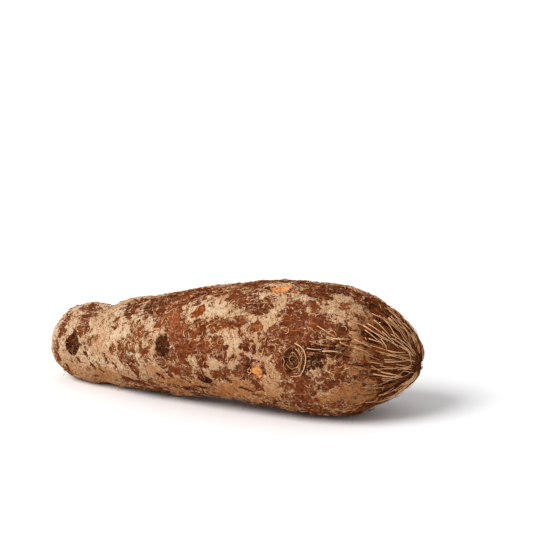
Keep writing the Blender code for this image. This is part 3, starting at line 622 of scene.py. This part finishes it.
colour = add("Mix", {0: bare, 6: bark_colour, 7: skin_colour}, **COLOURS)
# A scar is dark, with torn arcs of lighter fibre round its middle.
arcs = add("Math", {0: tear, 1: 40.0}, **TIMES)
arcs = add("Math", {0: scar_tint[1], 1: 11.0, 2: arcs}, operation="MULTIPLY_ADD")
arcs = add("Math", {0: arcs}, operation="SINE")
arcs = add("MapRange", {"Value": arcs, "From Min": 0.2, "From Max": 0.8, "To Max": 0.6})
scar_colour = add("Mix", {0: arcs, 6: SCAR_DARK, 7: SCAR_FIBRE}, **COLOURS)
share = add("MapRange", {"Value": scar_tint[0], "From Min": 0.1, "From Max": 0.7}, **SOFT)
colour = add("Mix", {0: share, 6: colour, 7: scar_colour}, **COLOURS)

# Only clean dry bark is bleached: all that is darker is redder, more so away from the root end, and most of
# all on the crown, where the extra red is partly a painted reddish reflection.
REDDER = (1.03, 0.85, 0.72, 1.0)
light = add("RGBToBW", {0: colour})
redder = add("MapRange", {"Value": light, "From Min": 0.42, "From Max": 0.24})
growth = {"From Min": 30.0, "From Max": 90.0, "To Min": 0.3, "To Max": 0.75}
from_root = add("MapRange", {"Value": add("SeparateXYZ", {0: flat}), **growth})
redder = add("Math", {0: redder, 1: from_root}, **TIMES)
# On the crown the added red is partly a painted reddish reflection.
redder = add("Math", {0: crown_share, 1: 0.6, 2: redder}, operation="MULTIPLY_ADD")
shade = add("Mix", {0: redder, 6: (1.0, 1.0, 1.0, 1.0), 7: REDDER}, **COLOURS)
colour = add("VectorMath", {0: colour, 1: shade}, **TIMES)

# Painted shade in the hollows of the relief and painted light on its high spots: the hollows are darker and
# redder, the high spots lighter.
for source, low, high in (
    (grit, (0.74, 0.66, 0.58), (1.22, 1.24, 1.26)),
    (pattern, (0.86, 0.8, 0.74), (1.08, 1.1, 1.12)),
    (wrinkles, (0.9, 0.87, 0.84), (1.06, 1.08, 1.1)),
):
    share = add("MapRange", {"Value": source, "From Min": 0.34, "From Max": 0.66})
    shade = add("Mix", {0: share, 6: (*low, 1.0), 7: (*high, 1.0)}, **COLOURS)
    colour = add("VectorMath", {0: colour, 1: shade}, **TIMES)
bark.node_tree.links.new(colour, shader.inputs["Base Color"])

# The relief that is finer than the mesh, in metres: the torn step, grit, wrinkles, and the crown's streaks.
step = add("MapRange", {"Value": edge, "From Min": -0.25, "From Max": 0.2}, **SOFT)
height = add("Math", {0: step, 1: 0.4 * MM}, **TIMES)
crown_rise = add("MapRange", {"Value": crown_share, "To Min": 0.4 * MM, "To Max": 1.6 * MM})
for source, rise in (
    (deeper, -0.2 * MM), (grit, 0.5 * MM), (wrinkles, 0.35 * MM), (tear, 0.6 * MM),
    (streaks, crown_rise), (strands, crown_rise),
):
    height = add("Math", {0: source, 1: rise, 2: height}, operation="MULTIPLY_ADD")
bump = add("Bump", {"Height": height, "Strength": 1.0, "Distance": 1.0})
bark.node_tree.links.new(bump, shader.inputs["Normal"])


def finished_piece(mesh, name, material):
    """A piece that rides on the tuber's body, in metres, from a mesh in millimetres."""
    bmesh.ops.recalc_face_normals(mesh, faces=mesh.faces[:])
    bmesh.ops.scale(mesh, vec=(MM, MM, MM), verts=mesh.verts[:])
    data = bpy.data.meshes.new(name)
    mesh.to_mesh(data)
    mesh.free()
    data.materials.append(material)
    data.shade_smooth()
    piece = bpy.data.objects.new(name, data)
    bpy.context.scene.collection.objects.link(piece)
    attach(piece, "root")
    return piece


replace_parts(finished_piece(blank, "tuber_skin", bark), "tuber")

# The fibres. Old leaf bases rot away and leave their stiff straw-like strands, which lie over the crown and
# gather at its tip. Thin threads of the same straw are left on the skin where the bark has come off.
FIBRE_STEPS, THREAD_STEPS = 8, 5


def fibre_blank(steps, sides):
    """A straight fibre along X, one millimetre thick in radius and a millimetre long for each step."""
    template = bmesh.new()
    bmesh.ops.create_cone(template, cap_ends=True, segments=sides, radius1=1.0, radius2=0.45, depth=steps)
    upright = Vector((0.0, 0.0, 1.0)).rotation_difference(Vector((1.0, 0.0, 0.0))).to_matrix()
    bmesh.ops.rotate(template, verts=template.verts[:], cent=(0.0, 0.0, 0.0), matrix=upright)
    bmesh.ops.translate(template, verts=template.verts[:], vec=(steps / 2, 0.0, 0.0))
    long_edges = [edge for edge in template.edges if abs(edge.verts[0].co.x - edge.verts[1].co.x) > 1.0]
    bmesh.ops.subdivide_edges(template, edges=long_edges, cuts=steps - 1, use_grid_fill=True)
    template.verts.layers.float.new("tone")
    mesh = bpy.data.meshes.new("fibre blank")
    template.to_mesh(mesh)
    template.free()
    return mesh


blanks = {FIBRE_STEPS: fibre_blank(FIBRE_STEPS, 4), THREAD_STEPS: fibre_blank(THREAD_STEPS, 3)}


def lay_fibre(mesh, path, outs, radius, tone):
    """Bends one fibre along a path of points, with the way out of the skin at each."""
    first, steps = len(mesh.verts), len(path) - 1
    mesh.from_mesh(blanks[steps])
    mesh.verts.ensure_lookup_table()
    layer = mesh.verts.layers.float["tone"]
    for vert in mesh.verts[first:]:
        step = min(steps, max(0, round(vert.co.x)))
        heading = (path[min(step + 1, steps)] - path[max(step - 1, 0)]).normalized()
        side = heading.cross(outs[step]).normalized()
        up = side.cross(heading)
        vert.co = path[step] + radius * (side * vert.co.y + up * vert.co.z)
        vert.co.z = max(0.05, vert.co.z)
        vert[layer] = tone


def skin_fibre(mesh, points, lift, radius, tone, surface=bark_surface):
    """A fibre that follows these points at a height over the skin, which may change along it."""
    path, outs = [], []
    for point, rise in zip(points, lift):
        foot, normal, _, _ = surface.find_nearest(point)
        normal = normal if normal.dot(point - middle(min(LENGTH, foot.x - ROOT_X))) > 0 else -normal
        path.append(foot + normal * rise)
        outs.append(normal)
    lay_fibre(mesh, path, outs, radius, tone)


def between(one, two, bow=0.0):
    """Points from one place on the tuber to another, each given as its distance along it and its angle.

    They lie on a straight line, or bowed to its side by so many millimetres.
    """
    start, finish = place_on(smooth_surface, *one), place_on(smooth_surface, *two)
    side = (finish[0] - start[0]).cross(start[1] + finish[1]).normalized()
    shares = [step / FIBRE_STEPS for step in range(FIBRE_STEPS + 1)]
    return [start[0].lerp(finish[0], share) + side * bow * math.sin(share * math.pi) for share in shares]


# Dry straw, split along its grain. It is matt, dark brown where it is old and pale tan where it is dry.
straw, shader, add = new_material("dry leaf-base straw", roughness=0.8)
tone = add("Attribute", out=2, attribute_name="tone")
place = add("VectorMath", {0: add("TexCoord", out=3), "Scale": 1 / MM}, operation="SCALE")
mottle = add("TexNoise", {"Vector": place, "Scale": 1 / 1.5, "Detail": 2.0})
mixed_tone = add("Math", {0: mottle, 1: 0.8, 2: tone}, operation="MULTIPLY_ADD")
colour = linear("#3E1A0A")
for low, tint in ((0.2, "#8E4722"), (0.9, "#E8B684")):
    share = add("MapRange", {"Value": mixed_tone, "From Min": low, "From Max": low + 0.6})
    colour = add("Mix", {0: share, 6: colour, 7: linear(tint)}, **COLOURS)
straw.node_tree.links.new(colour, shader.inputs["Base Color"])
bump = add("Bump", {"Height": mottle, "Strength": 0.5, "Distance": 0.2 * MM})
straw.node_tree.links.new(bump, shader.inputs["Normal"])

# The fibres that stand out on the near side: from and to, bow, radius, tone.
NAMED_FIBRES = (
    ((200.5, 82), (208, 79), 0, 0.32, 1), ((199.5, 66), (205, 62), 0, 0.3, 0.8),
    ((203.2, 100), (214.3, 124), 0, 0.28, 1), ((203, 93), (212.5, 106), 0.4, 0.26, 0.8),
    ((203, 111), (209.5, 127), -0.3, 0.32, 1), ((209, 127), (214.4, 130), 0.2, 0.28, 1.2),
    ((207, 77), (214.4, 66), 0.3, 0.32, 1), ((209, 88), (214, 94), 0, 0.28, 0.9),
    ((205.5, 86), (213, 100), -0.3, 0.26, 0.8), ((207.5, 117), (212.3, 130), 0, 0.28, 0.9),
    ((210, 121), (214.6, 129), -0.2, 0.3, 1.2), ((213, 127), (214.6, 172), 0, 0.3, 1.1),
    ((198.8, 129), (205.6, 132), 0, 0.36, 1.3), ((197.5, 133), (205.4, 138), 0.2, 0.34, 1.2),
    ((205, 139), (207.9, 149), 0, 0.26, 1.2), ((208.3, 150), (212.8, 137), 0.6, 0.3, 1.1),
    ((210.5, 155), (213.8, 137), -0.3, 0.26, 0.9), ((199.5, 163), (206.2, 167), 0.2, 0.3, 0.7),
    ((203.2, 177), (207, 185), 0, 0.28, 0.8), ((206.8, 185), (212.5, 198), 0.2, 0.32, 1.2),
    ((204, 188), (211.7, 203), -0.2, 0.3, 1.1), ((206.3, 175), (210.6, 176), 0.2, 0.26, 0.8),
    ((211.5, 235), (214.5, 252), 0, 0.34, 1.3), ((212, 245), (214.2, 275), 0.2, 0.32, 1.1),
    ((208.6, 240), (213.8, 244), 0, 0.3, 0.8), ((213, 180), (214.6, 200), 0, 0.28, 1),
    ((213, 187), (214.6, 230), 0, 0.26, 0.9), ((186.6, 154), (193.5, 151), 0.3, 0.36, 1.1),
    ((176, 166), (182.6, 165), 0.3, 0.3, 1), ((183, 166.5), (190.4, 165), -0.3, 0.34, 1.1),
    ((178.5, 146), (187.7, 152), 0.2, 0.32, 1), ((161.6, 163), (170.7, 167), -0.5, 0.2, 0.6),
    ((176.5, 160), (184.6, 161), 0.4, 0.26, 0.8), ((191, 157), (202, 160), 0.5, 0.3, 0.7),
    ((195, 168), (205, 171), -0.5, 0.3, 0.6), ((203.3, 103), (211.6, 114), 0.3, 0.24, 1),
    ((201.2, 80), (208.4, 89), -0.2, 0.26, 0.9), ((200.5, 61), (206.4, 69), 0, 0.28, 0.9),
    ((208.9, 87), (213.6, 117), 0.2, 0.24, 0.8), ((210.9, 81), (214.1, 65), 0, 0.3, 1),
    ((207.9, 128), (213.8, 132), -0.2, 0.3, 1.3), ((204.3, 128), (210.9, 138), 0.3, 0.3, 1.2),
    ((210.5, 111), (214.4, 125), 0.2, 0.26, 1), ((210.9, 132), (214.4, 133), 0, 0.28, 1.2),
    ((211.6, 170), (214.4, 181), 0, 0.28, 0.8), ((208.7, 187), (212, 202), -0.2, 0.28, 0.9),
    ((211.8, 227), (214.6, 241), 0.2, 0.32, 1.2), ((204.9, 156), (209.3, 160), 0, 0.26, 0.7),
    ((193, 176), (204, 180), 0.5, 0.3, 0.6), ((211.4, 176), (214.6, 186), 0.2, 0.28, 1.2),
    ((211.8, 182), (214.6, 172), 0, 0.26, 1.2), ((200.2, 121), (207.4, 127), 0.2, 0.28, 1.2),
    ((198.6, 137), (205.6, 144), 0.3, 0.28, 1.1), ((195.6, 150), (202.8, 154), 0.2, 0.28, 1),
    ((196, 158), (203.4, 164), -0.3, 0.26, 0.9), ((201, 145), (206.8, 143), 0.2, 0.26, 1.1),
    ((199.4, 205), (207, 214), 0.2, 0.28, 0.9),
)
fibres = bmesh.new()
fibres.verts.layers.float.new("tone")
for one, two, bow, radius, tone in NAMED_FIBRES:
    lift = [0.3 + 0.5 * math.sin(math.pi * step / FIBRE_STEPS) for step in range(FIBRE_STEPS + 1)]
    skin_fibre(fibres, between(one, two, bow), lift, radius, tone, smooth_surface)

# The rest, in three lots: stiff ones that reach the tip, short ones that lie crossed over them, and the
# frayed tuft on the tip itself. For each: number, start, length, spread of the lean in degrees, radius, and
# the tones to pick from. They grow in clumps, and are lighter where none of the named ones lies.
CROWN_FIBRES = (
    (60, (196, 209), (5, 12), 14, (0.18, 0.26), (0.2, 1.2)),
    (150, (191, 211), (2.5, 8), 24, (0.16, 0.26), (-0.5, 0.2, 1.4)),
    (60, (209, 213), (2, 5), 34, (0.14, 0.24), (-0.5, 0, 0.7)),
)
CLUMP, MOST_LEAN, FIBRES_END, TONE_ALONE = 4, 45.0, 214.8, 0.4
draw = random.Random(5)
for count, start_range, length_range, spread, radius_range, tones in CROWN_FIBRES:
    for number in range(count):
        start = draw.uniform(*start_range)
        end = min(FIBRES_END, start + draw.uniform(*length_range))
        angle = 360.0 * (number // CLUMP * CLUMP + CLUMP / 2) / count + draw.gauss(0.0, 4.0)
        width = np.interp(start, MIDDLE_LINE[:, 0], MIDDLE_LINE[:, 3])
        lean = math.radians(min(MOST_LEAN, max(-MOST_LEAN, draw.gauss(0.0, spread))))
        turn = math.degrees((end - start) * math.tan(lean) / width)
        top_lift = draw.uniform(0.3, 0.9)
        end_lift = draw.choice((-0.3, -0.2, 0.4, 1.2)) * (1.0 if end < 213.0 else 0.5)
        lift = []
        for step in range(FIBRE_STEPS + 1):
            share = step / FIBRE_STEPS
            arch = top_lift * math.sin(math.pi * share)
            lift.append(arch - 0.25 * (1.0 - share) + end_lift * share * share)
        path = between((start, angle), (end, angle + turn), draw.gauss(0.0, 0.3))
        named = 60.0 < angle < 250.0
        tone = draw.choice(tones) + draw.gauss(0.0, 0.15) + (0.0 if named else TONE_ALONE)
        skin_fibre(fibres, path, lift, draw.uniform(*radius_range), tone, smooth_surface)
finished_piece(fibres, "crown_fibres", straw)

# The threads. Bark frays to short curled threads, which stay on the skin where it came off. Few are left on
# whole bark or in the widest bare places. In the root scars lie spokes of the same straw.
THREADS = 7200
threads = bmesh.new()
threads.verts.layers.float.new("tone")
rows, steps = np.nonzero((along > 8.0) & (along < 206.0) & (skin[..., 2] > 1.5) & (scarred < 0.1))
for _ in range(THREADS):
    pick = draw.randrange(len(rows))
    row, step = rows[pick], steps[pick]
    on_bark = cork[row, step] > 0.2
    kept = 0.22 if on_bark else 0.35 if cork[row, step] < -0.42 else 1
    if draw.random() > kept * (1.0 - 0.6 * max(soot_and_shade[row, step], red[row, step])):
        continue
    point, normal = Vector(skin[row, step]), Vector(out[row, step])
    heading = Vector((1.0, 0.0, 0.0)).cross(normal).normalized()
    turn = draw.gauss(90.0, 38.0) if along[row, step] > 150.0 else draw.uniform(0.0, 180.0)
    side = normal.cross(heading)
    way = heading * math.cos(math.radians(turn)) + side * math.sin(math.radians(turn))
    length, curl = draw.triangular(0.8, 5.4, 1.5), draw.gauss(0.0, 0.34)
    points = []
    for _ in range(THREAD_STEPS + 1):
        points.append(point.copy())
        point += way * length / THREAD_STEPS
        way = (way + normal.cross(way) * curl).normalized()
    lift = [0.1 + draw.uniform(0.0, 0.2)] * (THREAD_STEPS + 1)
    lift[0] = lift[-1] = -0.1
    tone = draw.choice((0.2, 0.4, 1.3)) if on_bark else draw.triangular(0.0, 1.6, 1.2)
    skin_fibre(threads, points, lift, draw.uniform(0.16, 0.28), tone)
for place in SCARS:
    point, normal, onward, round_it = place_on(bark_surface, place[0], place[1])
    spokes = round(1.6 * (place[2] + place[3]))
    for spoke in range(spokes):
        turn = 2 * math.pi * (spoke + draw.uniform(-0.4, 0.4)) / spokes
        way = onward * place[2] * math.cos(turn) + round_it * place[3] * math.sin(turn)
        near, far = draw.uniform(0.1, 0.9), draw.uniform(0.6, 1.25)
        points = [point + way * (near + (far - near) * i / THREAD_STEPS) for i in range(THREAD_STEPS + 1)]
        lift = [0.2] * THREAD_STEPS + [0.0]
        skin_fibre(threads, points, lift, draw.uniform(0.12, 0.2), draw.triangular(-0.5, 1.4, 0.0))

# Rings of straw in the great scar, where a side shoot broke off: size, first and last bearing, radius, tone.
RING_LENGTH, RING_WIDTH = 6.4, 8.2
point, normal, onward, round_it = place_on(bark_surface, 168.8, 177)
for size, first, last, radius, tone in (
    (1, -84, 96, 0.28, 1.2),
    (0.88, -60, 70, 0.24, 0.9),
    (0.72, -76, 30, 0.22, 1),
    (0.7, 30, 84, 0.24, 0.7),
    (0.56, 20, 150, 0.24, 0.8),
    (0.5, -100, 10, 0.24, 1),
    (0.98, 110, 225, 0.24, 0.6),
    (0.84, 130, 250, 0.22, 0.9),
    (0.3, 90, 320, 0.22, 0.8),
):
    turns = [math.radians(first + (last - first) * i / FIBRE_STEPS) for i in range(FIBRE_STEPS + 1)]
    ways = [onward * RING_LENGTH * math.cos(turn) + round_it * RING_WIDTH * math.sin(turn) for turn in turns]
    points = [point + size * way for way in ways]
    skin_fibre(threads, points, [0.4] * (FIBRE_STEPS + 1), radius, tone)
finished_piece(threads, "peel_threads", straw)

# The root hairs. Where rootlets broke off, a few fine dry hairs are left in the skin. They stand out from it
# and droop, most of them low on the near side, and keep within the spread either side of the middle.
ROOT_HAIRS, HAIR_SPREAD, HAIR_DROOP = 70, 39.2, Vector((0.0, 0.0, -0.35))
hairs = bmesh.new()
hairs.verts.layers.float.new("tone")
HAIR_PLACES = (
    (20, 98), (21, 101), (60, 92), (84, 100), (132, 250), (134, 248), (138, 252), (186, 240), (187, 238)
)
for number in range(ROOT_HAIRS):
    if number < len(HAIR_PLACES):
        along_mm, angle = HAIR_PLACES[number]
    else:
        along_mm = draw.uniform(8.0, 205.0)
        angle = draw.choice((draw.gauss(245.0, 12.0), draw.uniform(0.0, 360.0)))
    point, normal, onward, round_it = place_on(bark_surface, along_mm, angle)
    way = (normal + onward * draw.gauss(0.0, 0.7) + round_it * draw.gauss(0.0, 0.7)).normalized()
    length = draw.uniform(2.5, 6.0)
    path, outs = [], []
    for step in range(FIBRE_STEPS + 1):
        share = step / FIBRE_STEPS
        spot = point + way * (length * share - 0.3) + HAIR_DROOP * length * share * share
        path.append(Vector((spot.x, min(HAIR_SPREAD, max(-HAIR_SPREAD, spot.y)), max(0.4, spot.z))))
        outs.append(onward)
    lay_fibre(hairs, path, outs, draw.uniform(0.08, 0.14), draw.triangular(0.0, 0.9, 0.3))
finished_piece(hairs, "root_hairs", straw)
for mesh in blanks.values():
    bpy.data.meshes.remove(mesh)

# The studio. A wide white floor that runs out behind the tuber, bright even light from all round, and one
# large soft lamp above the camera's left that gives the tuber its shape and its short shadow.
FLOOR_HALF, SKY_STRENGTH, LAMP_STRENGTH = 20.0, 0.63, 3.0
LAMP_WIDTH, LAMP_WAY = math.radians(35.0), Vector((0.45, 0.7, -0.75))
ground = bmesh.new()
bmesh.ops.create_grid(ground, x_segments=1, y_segments=1, size=FLOOR_HALF)
ground_mesh = bpy.data.meshes.new("floor")
ground.to_mesh(ground_mesh)
ground.free()
floor = bpy.data.objects.new("floor", ground_mesh)
bpy.context.scene.collection.objects.link(floor)
# Matt white paper, which gives back even light with hardly any gloss.
paper, shader, _ = new_material("matt white paper", roughness=0.9, specular=0.1)
shader.inputs["Base Color"].default_value = linear("#F4F4F4")
ground_mesh.materials.append(paper)

world = bpy.data.worlds.new("studio")
bpy.context.scene.world = world
world.use_nodes = True
sky = world.node_tree.nodes["Background"]
sky.inputs["Color"].default_value = (1.0, 1.0, 1.0, 1.0)
sky.inputs["Strength"].default_value = SKY_STRENGTH
lamp = bpy.data.objects.new("softbox", bpy.data.lights.new("softbox", "SUN"))
lamp.data.energy, lamp.data.angle = LAMP_STRENGTH, LAMP_WIDTH
lamp.rotation_euler = LAMP_WAY.to_track_quat("-Z", "Y").to_euler()
bpy.context.scene.collection.objects.link(lamp)
bpy.context.scene.view_settings.view_transform = "Standard"
